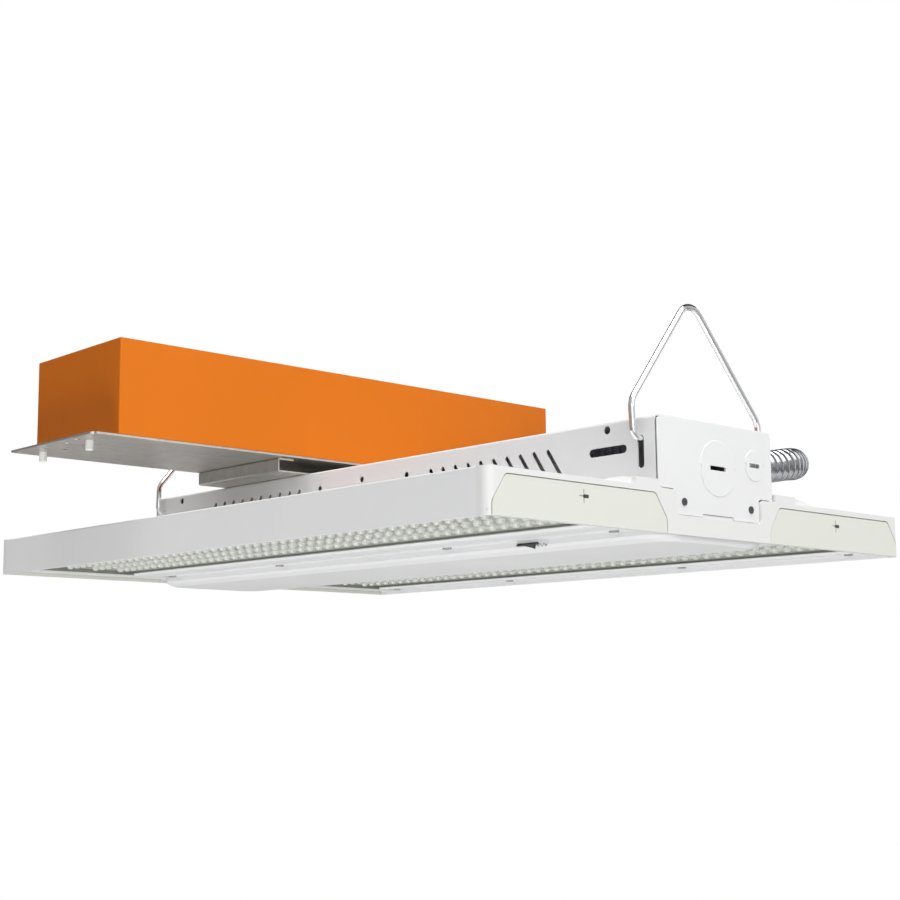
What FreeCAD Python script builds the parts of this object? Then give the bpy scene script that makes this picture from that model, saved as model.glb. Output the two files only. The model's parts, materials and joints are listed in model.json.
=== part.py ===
import FreeCAD, Part
import math
import os

# Linear high bay light, 600 mm long, with a slotted driver channel on top, two lens wings,
# a snap-on wireway cover, two swinging V-hooks and an emergency battery pack on its own
# bracket. Millimetres, +X along the light, +Z up. The origin is the centre of the wireway
# cover's lower face, on which the light rests when it is not hung.

V = FreeCAD.Vector

# ---- overall sizes
LENGTH = 600.0            # over the end caps
WIDTH = 444.0             # over the side walls
HALF_X = LENGTH / 2
HALF_Y = WIDTH / 2
COVER_DROP = 4.0          # the cover hangs this far below the wings
WING_Z = COVER_DROP       # lower rim of the wings
WING_TOP = WING_Z + 30.0
SHEET = 0.8               # folded steel of the wings
END_GAP = 14.2            # the lens frame stops this far inside the deck's ends
HOLE_R = 2.0              # clearance of the screws in sheet
ACCESS = (250.0, 45.0, 8.0)   # half length, half width and corner of the deck's opening

# ---- driver channel and its end plates
CHANNEL_HALF_Y = 62.5
CHANNEL_HALF_X = 296.0
CHANNEL_TOP = WING_Z + 78.6
CHANNEL_SHEET = 1.0
PLATE_X = 298.3           # outer face of the end plate
PLATE_SHEET = 1.0
PLATE_TOP = WING_Z + 78.9
PLATE_STEP_Z = WING_Z + 30.4
PLATE_FOOT_Z = WING_Z + 13.6
PLATE_FOOT_HALF_Y = 46.0
NOTCH_HALF_Y = 16.8
NOTCH_HEIGHT = 2.0
PLATE_SCREW = (36.7, WING_Z + 22.3)  # y and z
KNOCKOUT_RISE = 0.45      # half-sheared discs stand this far out of the plate
KNOCKOUTS = ((0.6, WING_Z + 47.9, 19.4, 17.0), (42.3, WING_Z + 53.6, 11.0, 11.0))
PRY_SLOT_W = 3.0
SLOT_TOP_Z = WING_Z + 66.3   # every slot in the channel's sides starts at this height

ROUND_HOLES = ((0.0, WING_Z + 66.4), (-53.2, WING_Z + 64.2), (53.2, WING_Z + 64.2))
HANGER_HOLE = (255.5, WING_Z + 73.0, 2.8)   # x, z and radius beside the obround slots
ROUND_HOLE_R = 2.5
OBROUND = (255.6, WING_Z + 58.7, 33.0, 5.8)  # x, z, length and width

# ---- slanted cooling slots
SLOT_COUNT = 10
SLOT_PITCH = 13.41
SLOT_FIRST_X = 80.45
SLOT_WIDTH = 3.5
SLOT_LENGTH = 31.0
SLOT_SLANT = 33.0         # degrees from upright, tops lean towards the middle

# ---- moulded end caps
CAP_DEPTH = 10.0
CAP_WALL = 2.2
CAP_SKIN = 1.6
CAP_CORNER_R = 6.0
CAP_INNER_X = HALF_X - CAP_DEPTH
SHOULDER_HALF_Y = 87.7
SHOULDER_TOP = WING_Z + 35.0
RAMP_HALF_Y = 115.0
WINDOW_Y = 137.6          # centre of each window
WINDOW_HALF_LOW = 81.2
WINDOW_HALF_TOP = 69.6
WINDOW_Z = (WING_Z - 2.0, WING_Z + 9.4, WING_Z + 26.2)   # open at the cap's lower edge
PANEL_GAP = 0.6
PANEL_LIP = 2.5
PANEL_FOOT_Z = WING_Z + 0.1
CROSS_Z = WING_Z + 17.8
CROSS_ARM = (4.2, 1.0)    # reach and width of the slits
CATCH = (0.5, 4.3, 1.1)   # inner and outer reach, half height

# ---- lens wings
FLANGE_Z = WING_Z + 3.3   # lower face of the frame round the lens
GROOVE_Z = WING_Z + 4.3   # lower face of the grooves that hold the screws
FLARE = 1.8               # both frame edges flare up towards the lens by this much
FLANGE_INNER_Y = 197.0
GROOVE_Y = (204.0, 205.5)
RAIL_EDGE_Y = 99.0
RAIL_STEP_Y = (85.2, 84.9)
LENS_INNER_Y = 92.0
LENS_OUTER_Y = 217.0
LENS_HALF_X = 286.0
LENS_Z = WING_Z + 7.3     # lower face of the lens sheet, which stands on a skirt
LENS_SHEET = 2.0
SKIRT = 2.5
OPTIC_ROWS_Y = (119.6, 145.2, 170.8)
OPTIC_PITCH = 10.94
OPTIC_COUNT = 50
OPTIC_R = 4.9
OPTIC_TIP_R = 2.9
OPTIC_HEIGHT = 3.2
LED_TRAY_Z = WING_Z + 13.0
LED_SHEET = 1.0
LED_BOARD = (18.0, 1.2)   # width and thickness
RAIL_INNER_Y = 62.0

# ---- wireway cover
COVER_SHEET = 0.8
COVER_FLAT = (295.0, 49.0, 15.0)     # half length, half width, corner radius
COVER_SHOULDER = (296.2, 57.0, 18.0)
COVER_RIM = (297.0, 60.0, 19.0)
COVER_PLAY = 0.8          # room left for the cover in the end caps
COVER_GROOVE_Y = (71.5, 73.0)
COVER_FLANGE_HALF_Y = 84.0
COVER_FLANGE_HALF_X = 275.8
FASTENER_X = (-263.0, -102.0, 102.0, 263.0)
COVER_SCREW_Y = 66.5
LENS_SCREW_Y = 211.0
LATCH_X = (168.0, 187.5)  # the latch's leaf tapers from its right end to its left one
LATCH_SLOT = (170.5, 73.5, 18.0, 4.0)     # x, y, length and width of the finger slot

# ---- hooks
WIRE_D = 4.5
HOOK_X = 284.1
HOOK_SLOT_W = 5.2
HOOK_SLOT_FOOT = WING_Z + 44.1
HOOK_AXIS_Z = SLOT_TOP_Z - HOOK_SLOT_W / 2
HOOK_END_Y = 53.5         # the wire's ends turn up inside the channel
HOOK_END_RISE = 9.5
HOOK_LEG_Y = 69.8
HOOK_SHOULDER_Z = WING_Z + 89.0
HOOK_VERTEX_Z = WING_Z + 171.3
HOOK_LEAN = 2.45          # degrees towards the middle, as it hangs on its chain
HOOK_BENDS = (3.2, 6.5, 13.0, 13.5)

# ---- battery pack on its tray and bracket
PACK_X = (-190.7, -63.9)
PACK_Y = (-250.0, 224.7)
PACK_HEIGHT = 75.5
TRAY_Z = WING_Z + 89.8
TRAY_SHEET = 1.6
TRAY_OVERHANG = 23.4
BRACKET_X = (-189.2, -74.1)
BRACKET_HALF_Y = 89.8
BRACKET_SHEET = 1.2
BRACKET_SCREW_R = 2.0
BRACKET_SCREW_Y = 40.0
TRAY_SCREW_Y = 81.0
PACK_Z = TRAY_Z + TRAY_SHEET
PEG_D = 6.3
PEG_DROP = 7.7            # below the tray
PEG_SPOTS = ((-173.8, -253.2), (-96.8, -255.9))
TRAY_SLOTS = ((-28.5, 10.7), (9.4, 10.6), (29.1, 7.8), (-22.0, 25.2), (8.4, 24.7), (63.4, 1.8))
TRAY_SLOT = (7.0, 4.4)
BRACKET_LIP = 16.0
BRACKET_ROUND = (6.1, 13.0, 77.0, 2.2)   # inset at each end, y and radius of its open holes

# ---- inside the channel
DRIVER = (22.0, 205.0, 32.0, 34.0)       # near end, far end, half width and depth
DRIVER_FOOT = 8.0
FIN = (8.0, 1.8, 2.5)                    # pitch, thickness and height
TERMINAL_X = (222.0, 266.0)
TERMINAL_Y = (-36.0, 46.0)
TERMINAL_Z = WING_Z + 44.0
TERMINAL_SIDE_RIB = (7.0, 2.6, 3.0)      # pitch, thickness and height
TERMINAL_END_RIB = (1.7, 0.8, 7.5)

# ---- flexible metal conduit
CONDUIT_D = 24.4
CONDUIT_HOLE_R = 11.1
CONDUIT_EXIT = V(258.0, CHANNEL_HALF_Y, WING_Z + 63.0)
CONNECTOR_LENGTH = 25.5
MOUTH_R = CONDUIT_D / 2 + 0.05
PACK_ENTRY = V(PACK_X[1], 190.0, WING_Z + 115.0)
CONDUIT_ROUTE = [
    CONDUIT_EXIT + V(0, CONNECTOR_LENGTH, 0),
    CONDUIT_EXIT + V(0, CONNECTOR_LENGTH + 22, 0),
    V(257.5, 147.0, WING_Z + 70.0),
    V(235.0, 185.0, WING_Z + 75.0),
    V(195.0, 203.0, WING_Z + 80.0),
    V(148.0, 201.5, WING_Z + 87.0),
    V(100.0, 196.5, WING_Z + 97.0),
    V(53.0, 191.5, WING_Z + 109.0),
    V(6.0, 190.0, WING_Z + 115.0),
    PACK_ENTRY + V(CONNECTOR_LENGTH, 0, 0),
]


# ------------------------------------------------------------------ helpers

def write(name, shape):
    """Save one node, after a check that each of its solids is sound."""
    solids = shape.Solids
    if not solids or not shape.isValid():
        raise ValueError("bad shape in " + name)
    shape.exportStep("parts/%s.step" % name)
    print("%-26s solids %3d  volume %10.1f" % (name, len(solids), shape.Volume))


def box(x0, x1, y0, y1, z0, z1):
    return Part.makeBox(x1 - x0, y1 - y0, z1 - z0, V(x0, y0, z0))


def cyl(radius, length, base, direction):
    return Part.makeCylinder(radius, length, base, direction)


def on_x(x):
    """Map flat (y, z) points onto the plane at x."""
    return lambda a, b: V(x, a, b)


def on_y(y):
    return lambda a, b: V(a, y, b)


def on_z(z):
    return lambda a, b: V(a, b, z)


def corner_cut(before, at, after, radius):
    """Tangent points and middle of an arc that rounds one corner."""
    to_before = (before - at).normalize()
    to_after = (after - at).normalize()
    half = to_before.getAngle(to_after) / 2
    reach = radius / math.tan(half)
    middle = (to_before + to_after).normalize()
    apex = at + middle * (radius / math.sin(half) - radius)
    return at + to_before * reach, apex, at + to_after * reach


def path_edges(points, radii):
    """Straight runs joined by tangent arcs, through points with a radius at each inner one."""
    edges = []
    start = points[0]
    for i in range(1, len(points) - 1):
        first, apex, last = corner_cut(points[i - 1], points[i], points[i + 1], radii[i - 1])
        edges.append(Part.makeLine(start, first))
        edges.append(Part.Arc(first, apex, last).toShape())
        start = last
    edges.append(Part.makeLine(start, points[-1]))
    return edges


def long_edges(shape, y_below, z):
    """Edges along X at height z, on the side where y is small."""
    return [e for e in shape.Edges if e.BoundBox.XLength > 1 and e.BoundBox.YMax < y_below + SHEET / 2
            and abs(e.BoundBox.ZMax - z) < 0.01]


def outline(corners, place):
    """Closed face from (a, b, radius) corners, laid on a plane by place."""
    points = [place(a, b) for a, b, _ in corners]
    count = len(points)
    cuts = []
    for i, (_, _, radius) in enumerate(corners):
        if radius > 0:
            cuts.append(corner_cut(points[i - 1], points[i], points[(i + 1) % count], radius))
        else:
            cuts.append((points[i], None, points[i]))
    edges = []
    for i, (first, apex, last) in enumerate(cuts):
        if apex is not None:
            edges.append(Part.Arc(first, apex, last).toShape())
        following = cuts[(i + 1) % count][0]
        if last.distanceToPoint(following) > 1e-6:
            edges.append(Part.makeLine(last, following))
    return Part.Face(Part.Wire(edges))


def mirrored_outline(half, place):
    """Outline of (a, b, radius) corners given for a > 0 only, from top to bottom."""
    other = [(-a, b, radius) for a, b, radius in reversed(half)]
    return outline(half + other, place)


def folded(points, thickness, length, bend=0.6):
    """Sheet of one thickness folded along X: points are (y, z) of one face of its section."""
    path = [V(0, y, z) for y, z in points]
    wire = Part.Wire(path_edges(path, [bend] * (len(path) - 2)))
    section = wire.makeOffset2D(thickness, 0, True, True, False)
    return section.Faces[0].extrude(V(length, 0, 0))


def at_x(shape, x):
    """Move a shape that was built from x = 0."""
    return shape.translated(V(x, 0, 0))


def mirror_x(shape):
    return shape.mirror(V(0, 0, 0), V(1, 0, 0))


def mirror_y(shape):
    return shape.mirror(V(0, 0, 0), V(0, 1, 0))


def rod(points, radii, diameter):
    """Round bar along straight runs and tangent arcs."""
    path = Part.Wire(path_edges(points, radii))
    tangent = (points[1] - points[0]).normalize()
    ring = Part.Wire(Part.makeCircle(diameter / 2, points[0], tangent))
    return path.makePipeShell([ring], True, False), path.Length


def obround(length, width, place, angle=0.0, centre=(0.0, 0.0)):
    """Face of a round-ended slot, its length along the first flat axis before it is turned."""
    reach = (length - width) / 2
    side = width / 2
    turn = math.radians(angle)

    def spot(a, b):
        return place(centre[0] + a * math.cos(turn) - b * math.sin(turn),
                     centre[1] + a * math.sin(turn) + b * math.cos(turn))

    edges = [
        Part.makeLine(spot(-reach, -side), spot(reach, -side)),
        Part.Arc(spot(reach, -side), spot(reach + side, 0), spot(reach, side)).toShape(),
        Part.makeLine(spot(reach, side), spot(-reach, side)),
        Part.Arc(spot(-reach, side), spot(-reach - side, 0), spot(-reach, -side)).toShape(),
    ]
    return Part.Face(Part.Wire(edges))


def spaced(start, stop, pitch):
    """Even steps from start, none of them past stop."""
    return [start + i * pitch for i in range(int((stop - start) / pitch) + 1)]


def grouped(shapes):
    return Part.makeCompound(shapes)


def screw(base, direction, head_r, head_h, shank_r, shank_l):
    """Pan head on a plain shank, with a hexagon recess; base is under the head."""
    head = cyl(head_r, head_h, base, direction)
    shank = cyl(shank_r, shank_l, base, direction * -1)
    socket = Part.makePolygon([V(0.45 * head_r * math.cos(k * math.pi / 3),
                                 0.45 * head_r * math.sin(k * math.pi / 3), 0) for k in range(7)])
    socket = Part.Face(socket).extrude(V(0, 0, head_h * 0.6))
    socket.Placement = FreeCAD.Placement(base + direction * (head_h * 0.4),
                                         FreeCAD.Rotation(V(0, 0, 1), direction))
    return head.fuse(shank).cut(socket).removeSplitter()


# ------------------------------------------------------------------ wings

def wing_housing():
    """One folded sheet: deck, side walls with a hemmed rim, and the flanges under the lenses."""
    inner = HALF_Y - SHEET
    deck = folded([(-HALF_Y, WING_Z), (-HALF_Y, WING_TOP), (HALF_Y, WING_TOP), (HALF_Y, WING_Z)],
                  SHEET, 2 * CAP_INNER_X, 1.5)
    hem = box(0, 2 * CAP_INNER_X, inner - SHEET, inner + SHEET / 2, WING_Z, GROOVE_Z + SHEET)
    hem = hem.makeFillet(SHEET * 0.7, long_edges(hem, inner - 1.1 * SHEET, WING_Z))
    points = [(inner + SHEET / 2, GROOVE_Z), (GROOVE_Y[1], GROOVE_Z), (GROOVE_Y[0], FLANGE_Z),
              (FLANGE_INNER_Y + FLARE, FLANGE_Z), (FLANGE_INNER_Y, FLANGE_Z + FLARE)]
    flange = at_x(folded(points, SHEET, 2 * (CAP_INNER_X - END_GAP), 1.0), END_GAP)
    sheet = at_x(deck.fuse([flange, hem, mirror_y(flange), mirror_y(hem)]), -CAP_INNER_X)
    half_x, half_y, corner = ACCESS
    access = rounded_wire(half_x, half_y, corner, WING_TOP - 2)
    access = Part.Face(access).extrude(V(0, 0, 4))
    holes = [cyl(HOLE_R, 4, V(x, s * LENS_SCREW_Y, GROOVE_Z - 1), V(0, 0, 1))
             for x in FASTENER_X for s in (-1, 1)]
    return sheet.cut([access] + holes).removeSplitter()


def inner_rail():
    """Folded rail between lens and cover: flared lens edge, lens seat, cover seat and web."""
    seat = GROOVE_Z + COVER_SHEET
    points = [(RAIL_EDGE_Y + FLARE, FLANGE_Z + FLARE), (RAIL_EDGE_Y, FLANGE_Z),
              (RAIL_STEP_Y[0], FLANGE_Z), (RAIL_STEP_Y[1], seat), (RAIL_INNER_Y, seat),
              (RAIL_INNER_Y, WING_TOP - SHEET), (RAIL_INNER_Y + 12, WING_TOP - SHEET)]
    length = 2 * (CAP_INNER_X - END_GAP)
    rail = at_x(folded(points, SHEET, length, 0.9), -length / 2)
    holes = [cyl(HOLE_R, 6, V(x, COVER_SCREW_Y, seat - 1), V(0, 0, 1)) for x in FASTENER_X]
    return rail.cut(holes)


def frustum(lower, upper):
    """Closed solid between two polygons with the same number of corners."""
    count = len(lower)
    faces = [Part.Face(Part.makePolygon(ring + ring[:1])) for ring in (lower, upper)]
    for k in range(count):
        j = (k + 1) % count
        faces.append(Part.Face(Part.makePolygon([lower[k], lower[j], upper[j], upper[k], lower[k]])))
    return Part.Solid(Part.Shell(faces))


def optic(x, y):
    """One six-sided collimator lens that tapers down from the lens sheet."""
    rings = []
    for radius, z in ((OPTIC_TIP_R, LENS_Z - OPTIC_HEIGHT), (OPTIC_R, LENS_Z + 0.3)):
        rings.append([V(x + radius * math.cos(k * math.pi / 3), y + radius * math.sin(k * math.pi / 3), z)
                      for k in range(6)])
    return frustum(rings[0], rings[1])


def lens_panel():
    """Clear moulded sheet on a skirt, with three rows of collimator lenses."""
    sheet = box(-LENS_HALF_X, LENS_HALF_X, LENS_INNER_Y, LENS_OUTER_Y, LENS_Z, LENS_Z + LENS_SHEET)
    seat, high_seat = FLANGE_Z + SHEET, GROOVE_Z + SHEET
    skirt = box(-LENS_HALF_X, LENS_HALF_X, LENS_INNER_Y, LENS_OUTER_Y, seat, LENS_Z)
    inside = LENS_HALF_X - SKIRT
    skirt = skirt.cut([box(-inside, inside, LENS_INNER_Y + SKIRT, LENS_OUTER_Y - SKIRT, 0, LENS_Z),
                       box(-inside, inside, GROOVE_Y[0], HALF_Y, 0, high_seat)])
    bosses = [cyl(4.0, LENS_Z - high_seat, V(x, LENS_SCREW_Y, high_seat), V(0, 0, 1))
              for x in FASTENER_X]
    optics = [skirt] + bosses
    for i in range(OPTIC_COUNT):
        x = (i + 0.5 - OPTIC_COUNT / 2) * OPTIC_PITCH
        optics += [optic(x, y) for y in OPTIC_ROWS_Y]
    holes = [cyl(HOLE_R, 10, V(x, LENS_SCREW_Y, FLANGE_Z), V(0, 0, 1)) for x in FASTENER_X]
    return sheet.fuse(optics).cut(holes)


def led_tray():
    """Folded heat spreader that holds the boards level above the lens."""
    low = LED_TRAY_Z
    high = WING_TOP - SHEET
    points = [(LENS_INNER_Y - 12, high), (LENS_INNER_Y + 8, high), (LENS_INNER_Y + 8, low),
              (LENS_OUTER_Y - 9, low), (LENS_OUTER_Y - 9, high), (LENS_OUTER_Y - 1, high)]
    return at_x(folded(points, LED_SHEET, 2 * LENS_HALF_X - 20, 1.0), -LENS_HALF_X + 10)


def led_boards():
    """Three narrow boards, one over each row of lenses."""
    half_x = OPTIC_COUNT * OPTIC_PITCH / 2
    half_y = LED_BOARD[0] / 2
    top = LED_TRAY_Z - LED_SHEET
    return grouped([box(-half_x, half_x, y - half_y, y + half_y, top - LED_BOARD[1], top)
                    for y in OPTIC_ROWS_Y])


# ------------------------------------------------------------------ end caps

def window_corners(grow=0.0):
    """Corners of a cap window, wide at the bottom and hipped at the top."""
    low, hip, top = WINDOW_Z
    corners = [(WINDOW_HALF_TOP + 0.5 * grow, top + grow, 4.0), (WINDOW_HALF_LOW + grow, hip, 9.0),
               (WINDOW_HALF_LOW + grow, low - grow, 2.0)]
    return corners + [(-a, b, radius) for a, b, radius in reversed(corners)]


def window(centre_y, x0, depth, grow=0.0):
    corners = [(centre_y + a, b, radius) for a, b, radius in window_corners(grow)]
    return outline(corners, on_x(x0)).extrude(V(depth, 0, 0))


def plate_corners(grow=0.0):
    """Half outline of the stepped end plate, from the top down."""
    return [(CHANNEL_HALF_Y + grow, PLATE_TOP + grow, 3.0),
            (CHANNEL_HALF_Y + grow, PLATE_STEP_Z - grow, 4.0),
            (PLATE_FOOT_HALF_Y + grow, PLATE_STEP_Z - grow, 3.0),
            (PLATE_FOOT_HALF_Y + grow, PLATE_FOOT_Z - grow, 4.5)]


def cap_blank():
    """Solid cap before it is hollowed: wings, shoulders beside the channel and rounded corners."""
    low = [(HALF_Y, WING_TOP, 0), (HALF_Y, WING_Z, 0)]
    body = mirrored_outline(low, on_x(CAP_INNER_X)).extrude(V(CAP_DEPTH, 0, 0))
    upright = [e for e in body.Edges if e.BoundBox.ZLength > 20 and e.BoundBox.XMin > HALF_X - 1]
    body = body.makeFillet(CAP_CORNER_R, upright)
    shoulder = [(SHOULDER_HALF_Y, SHOULDER_TOP, 1.0), (SHOULDER_HALF_Y, WING_TOP - 3, 0)]
    shoulder = mirrored_outline(shoulder, on_x(CAP_INNER_X)).extrude(V(CAP_DEPTH, 0, 0))
    return body.fuse(shoulder)


def shoulder_ramp():
    """Rib that sweeps up from the wing to the shoulder behind the cap's front wall."""
    z = WING_TOP - 0.5
    start = V(CAP_INNER_X + 1, RAMP_HALF_Y, z)
    crest = V(CAP_INNER_X + 1, SHOULDER_HALF_Y + 4, SHOULDER_TOP - 0.4)
    middle = V(CAP_INNER_X + 1, (start.y + crest.y) / 2 + 1.5, (start.z + crest.z) / 2 + 0.9)
    end = V(CAP_INNER_X + 1, SHOULDER_HALF_Y - 2, SHOULDER_TOP - 0.4)
    foot = V(CAP_INNER_X + 1, SHOULDER_HALF_Y - 2, z)
    edges = [Part.Arc(start, middle, crest).toShape(), Part.makeLine(crest, end),
             Part.makeLine(end, foot), Part.makeLine(foot, start)]
    return Part.Face(Part.Wire(edges)).extrude(V(CAP_DEPTH - 4.5, 0, 0))


def end_cap():
    """Moulded cap: thin walls, two hipped windows, a pocket for the end plate, lower flange."""
    blank = cap_blank().fuse([shoulder_ramp(), mirror_y(shoulder_ramp())])
    front = HALF_X - CAP_WALL
    half = [(HALF_Y - CAP_SKIN, WING_TOP - CAP_SKIN, 2), (HALF_Y - CAP_SKIN, WING_Z - 1, 0)]
    hollow = mirrored_outline(half, on_x(CAP_INNER_X - 1)).extrude(V(front - CAP_INNER_X + 1, 0, 0))
    half = [(SHOULDER_HALF_Y - CAP_SKIN, SHOULDER_TOP - CAP_SKIN, 1),
            (SHOULDER_HALF_Y - CAP_SKIN, WING_TOP - 4, 0)]
    upper = mirrored_outline(half, on_x(CAP_INNER_X - 1)).extrude(V(front - CAP_INNER_X + 1, 0, 0))
    cap = blank.cut([hollow, upper])
    reach = HALF_Y - 2 * SHEET - 0.1
    flange = box(CAP_INNER_X - END_GAP + 0.2, CAP_INNER_X, -reach, reach, FLANGE_Z, FLANGE_Z + SHEET)
    root = box(CAP_INNER_X, front + 0.5, -HALF_Y + 1, HALF_Y - 1, FLANGE_Z, FLANGE_Z + SHEET)
    backing = box(PLATE_X - PLATE_SHEET - 1.8, HALF_X - 0.4, -PLATE_FOOT_HALF_Y - 4,
                  PLATE_FOOT_HALF_Y + 4, PLATE_FOOT_Z - 4, WING_TOP - 1)
    cap = cap.fuse([flange, root, backing])
    pocket = mirrored_outline(plate_corners(0.9), on_x(PLATE_X - PLATE_SHEET)).extrude(V(6, 0, 0))
    passage = box(CAP_INNER_X - 2, HALF_X + 1, -CHANNEL_HALF_Y - 0.4, CHANNEL_HALF_Y + 0.4,
                  WING_TOP, SHOULDER_TOP + 1)
    rim_x, rim_y, corner = [size + COVER_PLAY for size in COVER_RIM]
    cover_room = Part.Face(rounded_wire(rim_x, rim_y, corner, WING_Z - 1)).extrude(V(0, 0, 6))
    latch_slot = box(CAP_INNER_X, PLATE_X, -NOTCH_HALF_Y - 0.5, NOTCH_HALF_Y + 0.5,
                     PLATE_FOOT_Z + NOTCH_HEIGHT - 0.2, PLATE_FOOT_Z + NOTCH_HEIGHT + 1.6)
    wiring = box(CAP_INNER_X, PLATE_X, -26, 26, PLATE_FOOT_Z + 8, WING_TOP)
    bosses = [cyl(1.6, 8, V(PLATE_X + 1, s * PLATE_SCREW[0], PLATE_SCREW[1]), V(-1, 0, 0))
              for s in (-1, 1)]
    windows = [window(s * WINDOW_Y, front - 1, CAP_WALL + 2) for s in (-1, 1)]
    return cap.cut([pocket, passage, cover_room, latch_slot, wiring] + bosses + windows)


def end_panel(side):
    """Off-white insert that fills a cap window from behind, with a cross-shaped slit."""
    front = HALF_X - CAP_WALL
    plate = window(side * WINDOW_Y, front, CAP_WALL - 0.3, -PANEL_GAP)
    plate = plate.cut(box(front - 1, HALF_X + 1, -HALF_Y, HALF_Y, 0, PANEL_FOOT_Z))
    lip = window(side * WINDOW_Y, front - 1.4, 1.4, PANEL_LIP)
    clear = box(front - 2, front, -HALF_Y, HALF_Y, -COVER_DROP, FLANGE_Z + SHEET + 0.1)
    side_room = box(front - 2, front, HALF_Y - CAP_SKIN - 1, HALF_Y + 5, 0, 50)
    under_skin = box(front - 2, front, -HALF_Y, HALF_Y, WING_TOP - CAP_SKIN - 0.2, WING_TOP)
    panel = plate.fuse(lip.cut([clear, under_skin, side_room, mirror_y(side_room)]))
    y, z = side * WINDOW_Y, CROSS_Z
    reach, half = CROSS_ARM[0], CROSS_ARM[1] / 2
    inner, outer, rise = CATCH
    slits = [box(front + 0.6, HALF_X, y - reach, y + reach, z - half, z + half),
             box(front + 0.6, HALF_X, y - half, y + half, z - reach, z + reach),
             box(front + 0.6, HALF_X, y + inner, y + outer, z - rise, z + rise)]
    return panel.cut(slits)


def panel_catches():
    """Small dark catch seated in the inner arm of each panel's cross slit."""
    front = HALF_X - CAP_WALL
    inner, outer, rise = CATCH
    right = [box(front + 0.6, HALF_X - 0.2, side * WINDOW_Y + inner, side * WINDOW_Y + outer,
                 CROSS_Z - rise, CROSS_Z + rise) for side in (-1, 1)]
    return grouped(right + [mirror_x(catch) for catch in right])


# ------------------------------------------------------------------ channel and end plates

def side_cutters(y0, side_end):
    """Every cut in one side of the channel: y0 is where the cutters start."""
    depth = V(0, 4, 0)
    place = on_y(y0)
    faces = []
    fall = math.radians(SLOT_SLANT)
    reach = (SLOT_LENGTH - SLOT_WIDTH) / 2
    for hand in (-1, 1):
        for i in range(SLOT_COUNT):
            top_x = hand * (SLOT_FIRST_X + i * SLOT_PITCH)
            centre = (top_x + hand * reach * math.sin(fall),
                      SLOT_TOP_Z - SLOT_WIDTH / 2 - reach * math.cos(fall))
            faces.append(obround(SLOT_LENGTH, SLOT_WIDTH, place, hand * (SLOT_SLANT - 90), centre))
        hook_length = SLOT_TOP_Z - HOOK_SLOT_FOOT
        faces.append(obround(hook_length, HOOK_SLOT_W, place, 90,
                             (hand * HOOK_X, SLOT_TOP_Z - hook_length / 2)))
        if hand not in side_end:
            x, z, length, width = OBROUND
            faces.append(obround(length, width, place, 0, (hand * x, z)))
    cutters = [face.extrude(depth) for face in faces]
    rounds = [(x, z, ROUND_HOLE_R) for x, z in ROUND_HOLES]
    x, z, radius = HANGER_HOLE
    rounds += [(hand * x, z, radius) for hand in (-1, 1) if hand not in side_end]
    cutters += [cyl(radius, 4, V(x, y0, z), V(0, 1, 0)) for x, z, radius in rounds]
    return cutters


def driver_channel():
    """Upside-down U with inward feet, slotted on both sides; a conduit leaves its back."""
    foot = CHANNEL_HALF_Y - 13
    points = [(-foot, WING_TOP), (-CHANNEL_HALF_Y, WING_TOP), (-CHANNEL_HALF_Y, CHANNEL_TOP),
              (CHANNEL_HALF_Y, CHANNEL_TOP), (CHANNEL_HALF_Y, WING_TOP), (foot, WING_TOP)]
    body = at_x(folded(points, CHANNEL_SHEET, 2 * CHANNEL_HALF_X, 2.0), -CHANNEL_HALF_X)
    back_exit = cyl(CONDUIT_HOLE_R, 4, CONDUIT_EXIT - V(0, 2.5, 0), V(0, 1, 0))
    cutters = side_cutters(-CHANNEL_HALF_Y - 1.5, ())
    cutters += side_cutters(CHANNEL_HALF_Y - 2.5, (1,)) + [back_exit]
    cutters += [cyl(BRACKET_SCREW_R, 4, V(x, y, CHANNEL_TOP - 3), V(0, 0, 1))
                for x, y in bracket_spots(BRACKET_SCREW_Y)]
    return body.cut(cutters)


def knockout(centre_y, centre_z, radius):
    """Half-sheared disc that stands out of the plate, flat again at its two ties."""
    root = PLATE_X - PLATE_SHEET / 2
    face = PLATE_X + KNOCKOUT_RISE
    disc = cyl(radius, face - root, V(root, centre_y, centre_z), V(1, 0, 0))
    disc = disc.makeFillet(KNOCKOUT_RISE * 0.8, [e for e in disc.Edges if e.BoundBox.XMin > face - 0.01])
    ties = [box(PLATE_X, face + 1, centre_y + s * radius - 1.6, centre_y + s * radius + 1.6,
                centre_z - 1.4, centre_z + 1.4) for s in (-1, 1)]
    return disc.cut(ties)


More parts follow.
